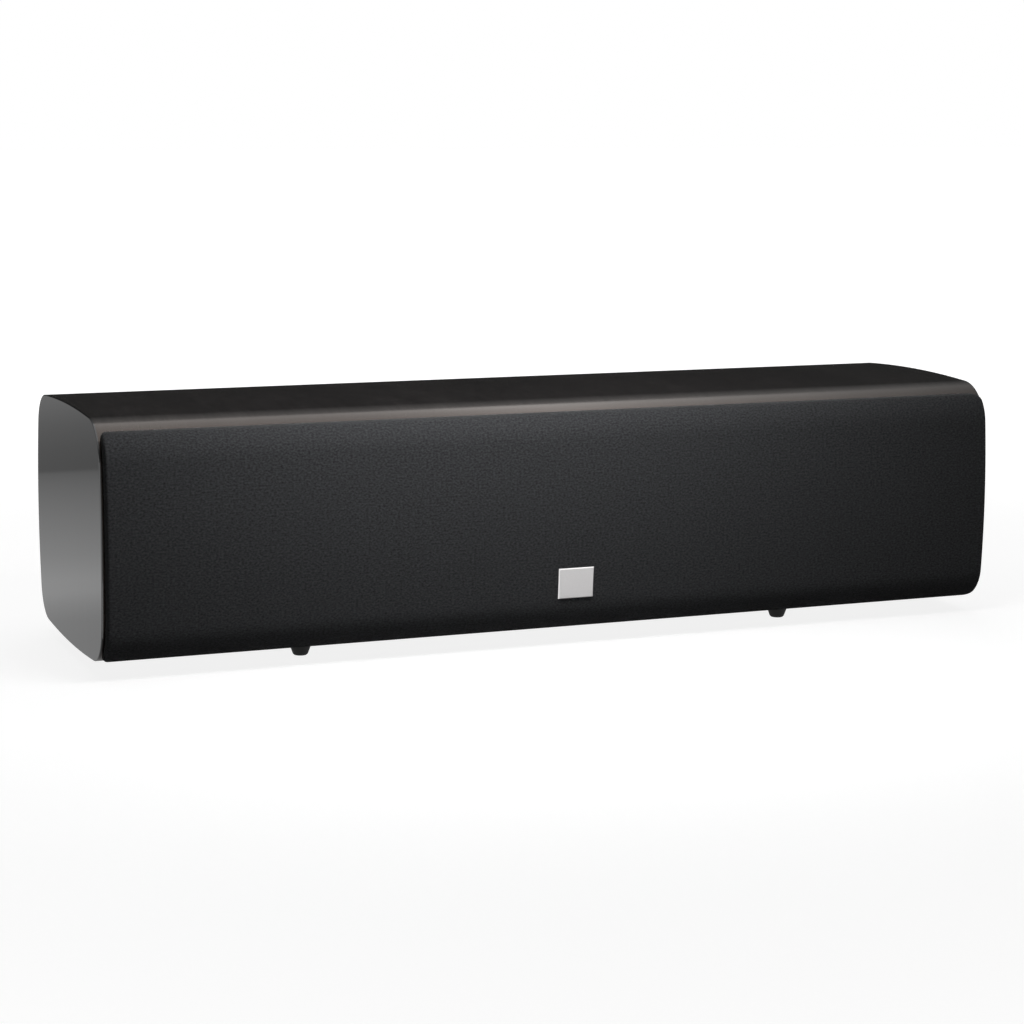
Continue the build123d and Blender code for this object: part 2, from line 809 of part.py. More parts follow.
tweeter_yoke = turned(
    Polyline(
        (0, collar_depth + tweeter_pole_drop),
        (tweeter_pole_radius, collar_depth + tweeter_pole_drop),
        (tweeter_pole_radius, tweeter_magnet_end),
        (tweeter_plate_radius, tweeter_magnet_end),
        (tweeter_plate_radius, tweeter_yoke_end),
        (0, tweeter_yoke_end),
        close=True,
    )
)
pieces["tweeter_back_plate"] = tweeter_place * tweeter_yoke
pieces["tweeter_screws"] = Compound(
    children=[facing_front(x, baffle_face, z) * driver_screw for x, z in tweeter_screw_places]
)

# Rear ports: flange, flared mouth and straight tube, depth measured inwards from the flange
port_outer = port_bore + port_wall
port = turned(
    ThreePointArc(
        (port_mouth_radius, 0),
        ((port_mouth_radius + 2 * port_bore) / 3, port_flare_depth * flare_bend),
        (port_bore, port_flare_depth),
    ),
    Polyline(
        (port_bore, port_flare_depth),
        (port_bore, port_length),
        (port_outer, port_length),
        (port_outer, port_flare_depth + port_wall),
    ),
    ThreePointArc(
        (port_outer, port_flare_depth + port_wall),
        ((port_mouth_radius + 2 * port_outer) / 3, port_flare_depth * flare_bend + 1.6 * port_wall),
        (port_hole_radius - 2 * port_hole_gap, port_flange_thick),
    ),
    Polyline(
        (port_hole_radius - 2 * port_hole_gap, port_flange_thick),
        (port_flange_radius, port_flange_thick),
        (port_flange_radius, 0),
        (port_mouth_radius, 0),
    ),
)
pieces["left_port"] = facing_rear(-port_spread, port_face, axis_height) * port
pieces["right_port"] = facing_rear(port_spread, port_face, axis_height) * port

# Terminal cup: flange, recess and the bosses that carry the crossover
flange_profile = Pos(0, axis_height) * RectangleRounded(cup_flange_width, cup_flange_height, cup_corner)
box_profile = Pos(0, axis_height) * Rectangle(cup_width + 2 * cup_wall, cup_height + 2 * cup_wall)
recess_profile = Pos(0, axis_height) * RectangleRounded(cup_width, cup_height, cup_corner / 2)
cup = along_y(flange_profile, cup_seat, cup_face)
cup += along_y(box_profile, cup_back, cup_face)
cup -= along_y(recess_profile, cup_floor, cup_face)
for side in (-1, 1):
    hole = Pos(side * post_spread, axis_height) * Circle(post_radius + post_fit)
    cup -= along_y(hole, cup_back, cup_floor)
for screw_x, screw_z in cup_screw_places:
    hole = Pos(screw_x, screw_z) * Circle(screw_shank + screw_gap)
    cup -= along_y(hole, cup_seat, cup_face)
boss_places = []
for side_x in (-1, 1):
    for side_z in (-1, 1):
        boss_places.append((side_x * boss_spread_x, axis_height + side_z * boss_spread_z))
board_rear = cup_back - boss_length
board_front = board_rear - board_thick
for boss_x, boss_z in boss_places:
    centre = Pos(boss_x, boss_z)
    cup += along_y(centre * Circle(boss_radius), board_rear, cup_back)
    cup -= along_y(
        centre * Circle(screw_shank + screw_gap), board_rear, board_front + screw_length + screw_gap
    )
pieces["terminal_cup"] = cup
pieces["terminal_screws"] = Compound(
    children=[facing_rear(x, cup_face, z) * driver_screw for x, z in cup_screw_places]
)

# Binding posts: bored shafts with collars, lock nuts and fluted thumb nuts
post_end = cup_floor + post_reach
collars = []
lock_nuts = []
for colour, side in (("red", 1), ("black", -1)):
    centre = Pos(side * post_spread, axis_height)
    shaft = along_y(centre * Circle(post_radius), cup_back - post_tail, post_end)
    shaft -= along_y(centre * Circle(post_bore), post_end - post_bore_depth, post_end)
    pieces[colour + "_post"] = shaft
    sleeve = Circle(post_radius + post_fit)
    collars.append(
        along_y(centre * (Circle(post_collar_radius) - sleeve), cup_floor, cup_floor + collar_thick)
    )
    lock_nuts.append(
        along_y(
            centre * (RegularPolygon(lock_nut_radius, 6) - sleeve), cup_back - lock_nut_thick, cup_back
        )
    )
    grip = Circle(nut_radius) - sleeve
    for location in PolarLocations(nut_radius, nut_flutes):
        grip -= location * Circle(nut_flute_radius)
    nut_start = cup_floor + collar_thick + nut_gap
    pieces[colour + "_thumb_nut"] = along_y(centre * grip, nut_start, nut_start + nut_length)
pieces["post_collars"] = Compound(children=collars)
pieces["post_lock_nuts"] = Compound(children=lock_nuts)

# Crossover board and its components, which stand on the board's front
circuit = Pos(0, axis_height) * RectangleRounded(board_width, board_height, board_corner)
circuit_board = along_y(circuit, board_front, board_rear)
for boss_x, boss_z in boss_places:
    hole = Pos(boss_x, boss_z) * Circle(screw_shank + screw_gap)
    circuit_board -= along_y(hole, board_front, board_rear)
pieces["crossover_board"] = circuit_board
pieces["board_screws"] = Compound(
    children=[facing_front(x, board_front, z) * driver_screw for x, z in boss_places]
)
coil_a = facing_rear(0, board_front, axis_height + coil_a_rise) * ring(
    coil_a_inner, coil_a_outer, 0, coil_a_height
)
coil_b = facing_rear(0, board_front, axis_height - coil_b_drop) * ring(
    coil_b_inner, coil_b_outer, 0, coil_b_height
)
pieces["crossover_coils"] = Compound(children=[coil_a, coil_b])
capacitor_line = board_front - capacitor_radius - component_gap
large_capacitor = Pos(-capacitor_spread, capacitor_line, axis_height) * Cylinder(
    capacitor_radius, capacitor_length
)
small_capacitor = Pos(capacitor_spread, capacitor_line, axis_height + small_capacitor_rise) * Cylinder(
    capacitor_radius, small_capacitor_length
)
pieces["crossover_capacitors"] = Compound(children=[large_capacitor, small_capacitor])
resistor = Pos(capacitor_spread, board_front - resistor_width / 2, axis_height - resistor_drop) * Box(
    resistor_width, resistor_width, resistor_length
)
pieces["crossover_resistor"] = resistor



def wire(*points):
    """Round wire along straight runs, each corner an arc as large as the runs beside it allow."""
    route = [Vector(*point) for point in points]
    runs = [after - before for before, after in zip(route, route[1:])]
    radii = []
    for before, after in zip(runs, runs[1:]):
        half_turn = math.radians(before.get_angle(after) / 2)
        radii.append(wire_bend_share * min(before.length, after.length) / math.tan(half_turn))
    path = FilletPolyline(*route, radius=radii)
    return sweep(Plane(origin=path @ 0, z_dir=path % 0) * Circle(wire_radius), path=path)


# Lead wires: two to each driver, off the board, along under the roof and down to the driver
wires = []
wire_start_z = axis_height + board_height / 2 - wire_board_edge
wire_start_y = board_front - wire_end_gap
basket_taper = mouth_wall_radius - basket_back_radius - basket_heel
basket_slope = basket_taper / (basket_depth - basket_floor - flange_thick)
tag_depth = (spider_seat_depth + basket_depth - basket_floor) / 2
tag_radius = mouth_wall_radius - (tag_depth - flange_thick) * basket_slope
tag_y = baffle_face + tag_depth
tweeter_tag_y = baffle_face + tweeter_magnet_end - 2 * wire_radius
tweeter_tag_z = axis_height + tweeter_magnet_radius + wire_end_gap
for offset in (-wire_pair_spacing / 2, wire_pair_spacing / 2):
    lane = wire_lane + offset / 2
    lane_y = wire_lane_y + offset / 2
    start_x = wire_board_spread + offset
    drop_x = brace_spread + wire_drop_offset + offset / 2
    tag_x = woofer_spread - math.sqrt(tag_radius**2 - offset**2) - wire_end_gap
    for side in (-1, 1):
        wires.append(
            wire(
                (side * start_x, wire_start_y, wire_start_z),
                (side * start_x, wire_start_y - wire_step, wire_start_z + 2 * wire_sag),
                (side * (start_x + 2 * wire_sag), wire_start_y - 2 * wire_step, lane - wire_sag),
                (side * (start_x + brace_spread - brace_thick) / 2, lane_y + 2 * wire_step, lane + wire_sag),
                (side * (brace_spread - brace_thick), lane_y, lane),
                (side * drop_x, lane_y - wire_sag, lane - wire_sag / 2),
                (side * drop_x, tag_y + wire_step, lane - 1.5 * wire_step),
                (side * drop_x, tag_y + wire_sag, axis_height + 3 * wire_step),
                (side * (drop_x - wire_sag), tag_y, axis_height + offset),
                (side * tag_x, tag_y, axis_height + offset),
            )
        )
    wires.append(
        wire(
            (offset, wire_start_y, wire_start_z),
            (offset, wire_start_y - wire_step, wire_start_z + 2 * wire_sag),
            (offset, wire_start_y - 2 * wire_step, wire_lane - wire_sag),
            (offset, wire_start_y - 5 * wire_step, wire_lane + wire_sag),
            (offset, tweeter_tag_y + 3 * wire_step, wire_lane),
            (offset, tweeter_tag_y, wire_lane - wire_sag),
            (offset, tweeter_tag_y, tweeter_tag_z),
        )
    )
pieces["lead_wires"] = Compound(children=wires)

# Feet: tapered rubber studs, each held by a screw from below
foot = turned(
    Polyline(
        (foot_counterbore_radius, 0),
        (foot_bottom_radius - foot_edge_round, 0),
        (foot_bottom_radius, foot_edge_round),
        (foot_top_radius, foot_height),
        (foot_screw_shank + screw_gap, foot_height),
        (foot_screw_shank + screw_gap, foot_counterbore_depth),
        (foot_counterbore_radius, foot_counterbore_depth),
        close=True,
    )
)
foot_screw = pan_screw(foot_screw_shank, foot_screw_length, foot_screw_head_radius, foot_screw_head_height)
foot_screws = []
for name, (foot_x, foot_y) in foot_places.items():
    pieces[name] = Pos(foot_x, foot_y, 0) * foot
    foot_screws.append(Pos(foot_x, foot_y, foot_counterbore_depth) * foot_screw)
pieces["foot_screws"] = Compound(children=foot_screws)

for name, piece in pieces.items():
    export_step(piece, f"parts/{name}.step")
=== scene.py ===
"""Center channel speaker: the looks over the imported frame. Metres, front towards -Y, +Z up."""
import json
import math

import bmesh
import bpy
import numpy as np
from mathutils import Matrix, Vector


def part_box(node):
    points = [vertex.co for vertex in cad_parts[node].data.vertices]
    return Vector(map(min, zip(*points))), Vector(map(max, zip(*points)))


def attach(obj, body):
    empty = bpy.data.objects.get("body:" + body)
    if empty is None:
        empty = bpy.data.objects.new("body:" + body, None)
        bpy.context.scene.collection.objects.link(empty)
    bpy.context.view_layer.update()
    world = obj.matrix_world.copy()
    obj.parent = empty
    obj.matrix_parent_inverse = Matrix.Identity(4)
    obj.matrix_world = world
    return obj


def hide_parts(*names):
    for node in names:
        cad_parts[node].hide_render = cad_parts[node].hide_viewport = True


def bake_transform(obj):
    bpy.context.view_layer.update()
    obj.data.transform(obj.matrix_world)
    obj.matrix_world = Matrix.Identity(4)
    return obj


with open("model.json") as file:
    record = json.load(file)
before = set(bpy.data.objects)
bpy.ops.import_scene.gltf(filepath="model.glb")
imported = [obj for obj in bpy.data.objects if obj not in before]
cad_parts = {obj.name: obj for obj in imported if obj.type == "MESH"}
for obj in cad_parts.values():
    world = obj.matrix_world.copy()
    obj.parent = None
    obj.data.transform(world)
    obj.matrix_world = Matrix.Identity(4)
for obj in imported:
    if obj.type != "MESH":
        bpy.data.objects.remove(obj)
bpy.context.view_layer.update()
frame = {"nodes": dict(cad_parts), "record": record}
record = frame["record"]

# Cabinet section, as the solids have it: bowed sides on chords, with round corners
CHORD_DEPTH = 0.1610
CHORD_HEIGHT = 0.1377
FRONT_BOW = 0.0041
TOP_BOW = 0.0032
BOTTOM_BOW = 0.0035
FRONT_TOP_RADIUS = 0.0249
FRONT_BOTTOM_RADIUS = 0.0234

# End panels: how far from the middle the cut edge, darkened with painted shade, ends and the polished face
# begins
PANEL_EDGE = 0.28855
PANEL_EDGE_BLUR = 0.0002

# Grille cloth, with the points across its face and along each stretch of its edge
CLOTH_CORNER = 0.0040
CLOTH_EDGE = 0.0014
CLOTH_THICKNESS = 0.0005
CLOTH_STAND_OFF = 0.00005
GRILLE_PROUD = 0.0063
GRILLE_SEAT_GAP = 0.0003
CLOTH_LENGTH_POINTS = 220
CLOTH_HEIGHT_POINTS = 90
FACE_POINTS = 4
TURN_POINTS = 8
SIDE_POINTS = 4
NO_LENGTH = 1e-9

# Woofer surround, measured from the woofer's axis
RIM_RADIUS = 0.0453
ROLL_CENTRE = 0.0375
ROLL_RADIUS = 0.0038
LAP_RADIUS = 0.0311
RUBBER_THICKNESS = 0.0008
ROLL_POINTS = 25
TURN_STEPS = 144

# Woofer spider, measured from the woofer's axis
SPIDER_NECK = 0.0129
SPIDER_WAVE_START = 0.0141
SPIDER_SEAT = 0.0330
SPIDER_RIM = 0.0367
SPIDER_WAVE = 0.0012
SPIDER_WAVES = 3
SPIDER_POINTS = 73
COTTON_THICKNESS = 0.0006

# Cross-head screws
HEAD_RADIUS = 0.0027
HEAD_HEIGHT = 0.0017
HEAD_FALL = 0.62
HEAD_POINTS = 16
HEAD_TURN_STEPS = 48
SHANK_RADIUS = 0.0016
SHANK_LENGTH = 0.0130
CROSS_WIDTH = 0.00042
CROSS_WALL = 0.0002
CROSS_REACH = 0.0016
CROSS_END = 0.0004
CROSS_DEPTH = 0.0009
MERGE_DISTANCE = 1e-7
WOOFER_SCREW_CIRCLE = 0.0489
TWEETER_SCREW_CIRCLE = 0.0426
CUP_SCREW_INSET = 0.0060

# Noise levels at which the two shades of a finish are pure, and how far its roughness swings
DARK_LEVEL = 0.3
LIGHT_LEVEL = 0.7
MOULDED_SWING = 0.06
METAL_SWING = 0.05
RELIEF_STRENGTH = 0.4

# Sockets of the colour mix node: the share, the two colours, the result
MIX_INPUTS = (0, 6, 7)
MIX_OUTPUT = 2

# The photograph's camera
IMAGE_SIZE = 1024
FOCAL_PIXELS = 2549.6
CENTRE_ROW = 440
SENSOR_WIDTH = 36.0
CAMERA_PLACE = Vector((-0.604385, -1.479889, 0.331037))
CAMERA_YAW = 0.384108
CAMERA_PITCH = 0.133427
CAMERA_ROLL = -0.004946


def middle_of(node):
    """Centre of a node's box."""
    low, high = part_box(node)
    return (low + high) / 2


def grid_faces(rows, columns, close_rows=False, close_columns=False):
    """Quads of a grid whose points are numbered row by row, joined round where it closes."""
    row = np.arange(rows if close_rows else rows - 1)
    column = np.arange(columns if close_columns else columns - 1)
    i, j = np.meshgrid(row, column, indexing="ij")
    here, there = i * columns, (i + 1) % rows * columns
    next_j = (j + 1) % columns
    return np.stack([here + j, there + j, there + next_j, here + next_j], -1).reshape(-1, 4)


def mesh_piece(name, points, faces, material, smooth=True):
    """New object from an array of points and an array of faces."""
    mesh = bpy.data.meshes.new(name)
    mesh.from_pydata(points.reshape(-1, 3).tolist(), [], faces.tolist())
    mesh.polygons.foreach_set("use_smooth", np.full(len(mesh.polygons), smooth))
    mesh.materials.append(material)
    mesh.update()
    piece = bpy.data.objects.new(name, mesh)
    bpy.context.scene.collection.objects.link(piece)
    return piece


# Finishes
def finish(name, **sockets):
    """Material with constants on the shader's own sockets; underscores in the names stand for spaces."""
    material = bpy.data.materials.new(name)
    material.use_nodes = True
    shader = material.node_tree.nodes["Principled BSDF"]
    for socket, value in sockets.items():
        shader.inputs[socket.replace("_", " ")].default_value = value
    return material


def add_node(owner, kind, **settings):
    """New node with its properties, or its inputs where the name is an input's."""
    node = owner.node_tree.nodes.new(kind)
    for key, value in settings.items():
        label = key.replace("_", " ")
        if label in node.inputs:
            node.inputs[label].default_value = value
        else:
            setattr(node, key, value)
    return node


def join(owner, source, target):
    """Link an output socket to an input socket."""
    owner.node_tree.links.new(source, target)


def feed(material, socket, source):
    """Link an output socket to one of the shader's sockets."""
    join(material, source, material.node_tree.nodes["Principled BSDF"].inputs[socket])


def stretched_noise(material, scale, noise_scale, detail=5.0, coordinates="Object", roughness=0.55):
    """Noise on the piece's coordinates, each axis stretched by its own scale."""
    place = add_node(material, "ShaderNodeTexCoord")
    mapping = add_node(material, "ShaderNodeMapping", Scale=scale)
    noise = add_node(material, "ShaderNodeTexNoise", Scale=noise_scale, Detail=detail, Roughness=roughness)
    join(material, place.outputs[coordinates], mapping.inputs["Vector"])
    join(material, mapping.outputs["Vector"], noise.inputs["Vector"])
    return noise.outputs["Fac"]


def axis_place(material, axis):
    """The piece's own coordinate along one axis."""
    place = add_node(material, "ShaderNodeTexCoord")
    split = add_node(material, "ShaderNodeSeparateXYZ")
    join(material, place.outputs["Object"], split.inputs["Vector"])
    return split.outputs[axis]


def colour_ramp(material, factor, stops):
    """Colour looked up from a factor; stops are pairs of position and linear colour."""
    ramp = add_node(material, "ShaderNodeValToRGB")
    elements = ramp.color_ramp.elements
    while len(elements) < len(stops):
        elements.new(0.5)
    for element, (position, colour) in zip(elements, stops):
        element.position = position
        element.color = (*colour, 1.0)
    join(material, factor, ramp.inputs["Fac"])
    return ramp.outputs["Color"]


def mix_colours(material, share, first, second, kind="MIX"):
    """Two colours mixed by a share; each of the three is a socket or a plain value."""
    mix = add_node(material, "ShaderNodeMix", data_type="RGBA", blend_type=kind)
    for index, source in zip(MIX_INPUTS, (share, first, second)):
        if isinstance(source, bpy.types.NodeSocket):
            join(material, source, mix.inputs[index])
        else:
            mix.inputs[index].default_value = source
    return mix.outputs[MIX_OUTPUT]


def spread(material, factor, low=0.0, high=1.0, start=0.0, end=1.0, curve="LINEAR"):
    """Factor carried from the range start to end into the range low to high."""
    carried = add_node(
        material, "ShaderNodeMapRange", interpolation_type=curve,
        From_Min=start, From_Max=end, To_Min=low, To_Max=high,
    )
    join(material, factor, carried.inputs["Value"])
    return carried.outputs["Result"]


def raise_surface(material, height, strength, distance):
    """Fine relief from a height."""
    bump = add_node(material, "ShaderNodeBump", Strength=strength, Distance=distance)
    join(material, height, bump.inputs["Height"])
    feed(material, "Normal", bump.outputs["Normal"])


def two_shades(material, noise, dark, light, roughness, swing):
    """Base colour between two close shades, with a roughness that moves with the same noise."""
    feed(material, "Base Color", colour_ramp(material, noise, [(DARK_LEVEL, dark), (LIGHT_LEVEL, light)]))
    feed(material, "Roughness", spread(material, noise, roughness - swing, roughness + swing))


def speckled(name, dark, light, roughness, grain, relief=0.0):
    """Moulded or cast finish: a fine even noise, in relief where the surface has one."""
    material = finish(name)
    noise = stretched_noise(material, (1, 1, 1), grain)
    two_shades(material, noise, dark, light, roughness, MOULDED_SWING)
    if relief:
        raise_surface(material, noise, RELIEF_STRENGTH, relief)
    return material


def satin_metal(name, dark, light, roughness, grain):
    """Bare metal with a fine grain, stretched by its own scale on each axis."""
    material = finish(name, Metallic=1.0)
    noise = stretched_noise(material, grain, noise_scale=8.0)
    two_shades(material, noise, dark, light, roughness, METAL_SWING)
    return material


def wood_wrap():
    """Satin dark wood-grain skin: grain round the section, so it varies along X, with broad streaks."""
    material = finish("dark_wood_wrap", Specular_IOR_Level=0.5, Specular_Tint=(1.0, 0.86, 0.78, 1.0))
    grain = stretched_noise(material, (60, 3.0, 3.0), noise_scale=14.0, detail=7.0, roughness=0.65)
    streaks = stretched_noise(material, (9, 0.8, 0.8), noise_scale=4.0, detail=3.0)
    grain_shades = [(0.38, (0.0065, 0.0061, 0.0059)), (0.66, (0.0220, 0.0210, 0.0205))]
    streak_shades = [(0.3, (0.62, 0.60, 0.59)), (0.7, (1.12, 1.08, 1.05))]
    fine = colour_ramp(material, grain, grain_shades)
    broad = colour_ramp(material, streaks, streak_shades)
    feed(material, "Base Color", mix_colours(material, 1.0, fine, broad, "MULTIPLY"))
    feed(material, "Roughness", spread(material, grain, 0.13, 0.27))
    raise_surface(material, grain, strength=0.14, distance=0.0002)
    return material


def brushed_panel():
    """Gloss gunmetal with a faint upright brushing; painted shade darkens the cut edge behind its rounded
    rim.
    """
    material = finish("gunmetal_panel", Metallic=1.0)
    brushing = stretched_noise(material, (1, 160, 2.0), noise_scale=9.0, roughness=0.6)
    face_shades = [(0.25, (0.148, 0.150, 0.152)), (0.75, (0.170, 0.172, 0.174))]
    # Painted shade: the cut edge is made darker than the face, which keeps a mirrored bright line off it.
    painted_edge_shade = (0.050, 0.051, 0.052, 1.0)
    outwards = add_node(material, "ShaderNodeMath", operation="ABSOLUTE")
    join(material, axis_place(material, "X"), outwards.inputs[0])
    face = spread(material, outwards.outputs["Value"], start=PANEL_EDGE, end=PANEL_EDGE + PANEL_EDGE_BLUR)
    colour = mix_colours(material, face, painted_edge_shade, colour_ramp(material, brushing, face_shades))
    feed(material, "Base Color", colour)
    feed(material, "Roughness", spread(material, brushing, 0.05, 0.08))
    return material


def woven_cloth():
    """Black acoustic cloth on the flat cloth's own coordinates.

    Warp and weft are two waves that waver a little, one times the other. A noise for uneven yarn is added.
    """
    material = finish(
        "grille_weave", Roughness=0.95, Specular_IOR_Level=0.0, Sheen_Weight=0.10, Sheen_Roughness=0.5
    )
    place = add_node(material, "ShaderNodeTexCoord")
    weave = add_node(material, "ShaderNodeMath", operation="MULTIPLY")
    for index, direction in enumerate(("X", "Y")):
        thread = add_node(
            material, "ShaderNodeTexWave", bands_direction=direction,
            Scale=480.0, Distortion=3.0, Detail=1.0, Detail_Scale=0.2,
        )
        join(material, place.outputs["UV"], thread.inputs["Vector"])
        join(material, thread.outputs["Fac"], weave.inputs[index])
    yarn = stretched_noise(material, (0.7, 1, 1), noise_scale=950.0, detail=2.0, coordinates="UV")
    cloth = add_node(material, "ShaderNodeMath", operation="ADD")
    join(material, spread(material, weave.outputs["Value"], 0.0, 0.4), cloth.inputs[0])
    join(material, spread(material, yarn, -0.05, 0.85), cloth.inputs[1])
    shades = [(0.15, (0.014, 0.0143, 0.0150)), (0.90, (0.094, 0.0960, 0.1010))]
    feed(material, "Base Color", colour_ramp(material, cloth.outputs["Value"], shades))
    raise_surface(material, cloth.outputs["Value"], RELIEF_STRENGTH, distance=0.0003)
    return material


# Per slot: finish, dark and light shade, roughness, grain, and relief where there is one
finishes = {
    "wrap": wood_wrap(),
    "end_panel": brushed_panel(),
    "grille_cloth": woven_cloth(),
    "badge": satin_metal("badge_aluminium", (0.53, 0.52, 0.52), (0.58, 0.57, 0.57), 0.34, (300, 300, 300)),
    "baffle": speckled("black_board", (0.010, 0.010, 0.010), (0.022, 0.022, 0.022), 0.55, 900.0, 0.0001),
    "brace": speckled("raw_board", (0.20, 0.13, 0.08), (0.36, 0.25, 0.16), 0.85, 500.0, 0.0002),
    "black_plastic": speckled(
        "black_moulding", (0.009, 0.009, 0.010), (0.017, 0.017, 0.018), 0.42, 1500.0, 0.00006
    ),
    "driver_frame": speckled(
        "black_casting", (0.012, 0.012, 0.013), (0.026, 0.026, 0.028), 0.5, 1100.0, 0.00008
    ),
    "cone": speckled("coated_pulp", (0.014, 0.014, 0.015), (0.034, 0.034, 0.036), 0.6, 260.0, 0.00015),
    "soft_rubber": speckled("soft_rubber", (0.008, 0.008, 0.008), (0.016, 0.016, 0.016), 0.6, 800.0),
    "spider": speckled("varnished_cotton", (0.28, 0.15, 0.05), (0.42, 0.25, 0.09), 0.8, 1400.0, 0.0001),
    "copper": satin_metal("copper_winding", (0.62, 0.27, 0.14), (0.80, 0.40, 0.22), 0.35, (1, 300, 1)),
    "steel": satin_metal("zinc_steel", (0.42, 0.42, 0.43), (0.58, 0.58, 0.59), 0.32, (40, 40, 40)),
    "ferrite": speckled("ferrite", (0.030, 0.030, 0.031), (0.055, 0.055, 0.056), 0.65, 700.0, 0.0001),
    "black_screw": satin_metal(
        "blacked_screw", (0.035, 0.035, 0.036), (0.070, 0.070, 0.072), 0.38, (300, 300, 300)
    ),
    "dome": satin_metal("grey_dome", (0.30, 0.30, 0.31), (0.40, 0.40, 0.41), 0.3, (200, 200, 200)),
    "gold": satin_metal("gold_plating", (0.82, 0.57, 0.20), (0.92, 0.68, 0.28), 0.2, (200, 200, 200)),
    "red_plastic": speckled("clear_red_cap", (0.42, 0.012, 0.014), (0.52, 0.018, 0.020), 0.25, 600.0),
    "black_gloss": speckled("gloss_black_cap", (0.008, 0.008, 0.008), (0.014, 0.014, 0.014), 0.25, 600.0),
    "circuit_board": speckled("circuit_board", (0.16, 0.10, 0.035), (0.24, 0.16, 0.06), 0.55, 300.0),
    "capacitor": speckled("capacitor_sleeve", (0.08, 0.09, 0.24), (0.11, 0.12, 0.30), 0.35, 300.0),
    "resistor": speckled("ceramic", (0.62, 0.60, 0.56), (0.74, 0.72, 0.68), 0.8, 900.0, 0.0001),
    "lead_wire": speckled("wire_sleeve", (0.30, 0.012, 0.012), (0.38, 0.020, 0.018), 0.45, 500.0),
    "foot": speckled("foot_rubber", (0.006, 0.006, 0.006), (0.013, 0.013, 0.013), 0.6, 900.0),
}

slot_of = {row["node"]: row["material_slot"] for row in record["subparts"]}
for name, node in frame["nodes"].items():
    node.data.materials.clear()
    node.data.materials.append(finishes[slot_of[name]])


# Grille cloth
def bow_radius(chord, bow):
    """Radius of an arc that stands bow proud of its chord."""
    return chord**2 / (8 * bow) + bow / 2


def inner_corner(centre_a, radius_a, centre_b, radius_b, sign):
    """Where two circles cross, on the side that sign picks: the centre of the arc that rounds a corner."""
    across = centre_b - centre_a
    distance = np.hypot(*across)
    along = (distance**2 + radius_a**2 - radius_b**2) / (2 * distance)
    height = np.sqrt(radius_a**2 - along**2)
    unit = across / distance
    return centre_a + along * unit + sign * height * np.array([-unit[1], unit[0]])


grille_low, grille_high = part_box("grille_cloth")
axis_height = middle_of("tweeter_faceplate").z
front_radius = bow_radius(CHORD_HEIGHT, FRONT_BOW)
top_radius = bow_radius(CHORD_DEPTH, TOP_BOW)
belly_radius = bow_radius(CHORD_DEPTH, BOTTOM_BOW)
front_middle = grille_low.y + FRONT_BOW + CHORD_DEPTH / 2
front_centre = np.array([grille_low.y + front_radius, axis_height])
top_centre = np.array([front_middle, axis_height + CHORD_HEIGHT / 2 + TOP_BOW - top_radius])
belly_centre = np.array([front_middle, axis_height - CHORD_HEIGHT / 2 - BOTTOM_BOW + belly_radius])
upper_round = inner_corner(
    front_centre, front_radius - FRONT_TOP_RADIUS, top_centre, top_radius - FRONT_TOP_RADIUS, -1
)
lower_round = inner_corner(
    front_centre, front_radius - FRONT_BOTTOM_RADIUS, belly_centre, belly_radius - FRONT_BOTTOM_RADIUS, 1
)


def meeting_height(round_centre, round_radius):
    """Height at which the front's large arc passes into a corner's arc."""
    stretch = front_radius / (front_radius - round_radius)
    return front_centre[1] + (round_centre[1] - front_centre[1]) * stretch


def arc_depth(centre, radius, z):
    """Depth of the front half of a circle at height z, or of its centre where z lies beyond it."""
    return centre[0] - np.sqrt(np.maximum(radius**2 - (z - centre[1]) ** 2, 0))


def front_profile(z):
    """Depth of the bowed front at height z: a large arc, met by a smaller one at the top and the bottom."""
    bow = arc_depth(front_centre, front_radius, z)
    upper = arc_depth(upper_round, FRONT_TOP_RADIUS, z)
    lower = arc_depth(lower_round, FRONT_BOTTOM_RADIUS, z)
    below = np.where(z < meeting_height(lower_round, FRONT_BOTTOM_RADIUS), lower, bow)
    return np.where(z > meeting_height(upper_round, FRONT_TOP_RADIUS), upper, below)


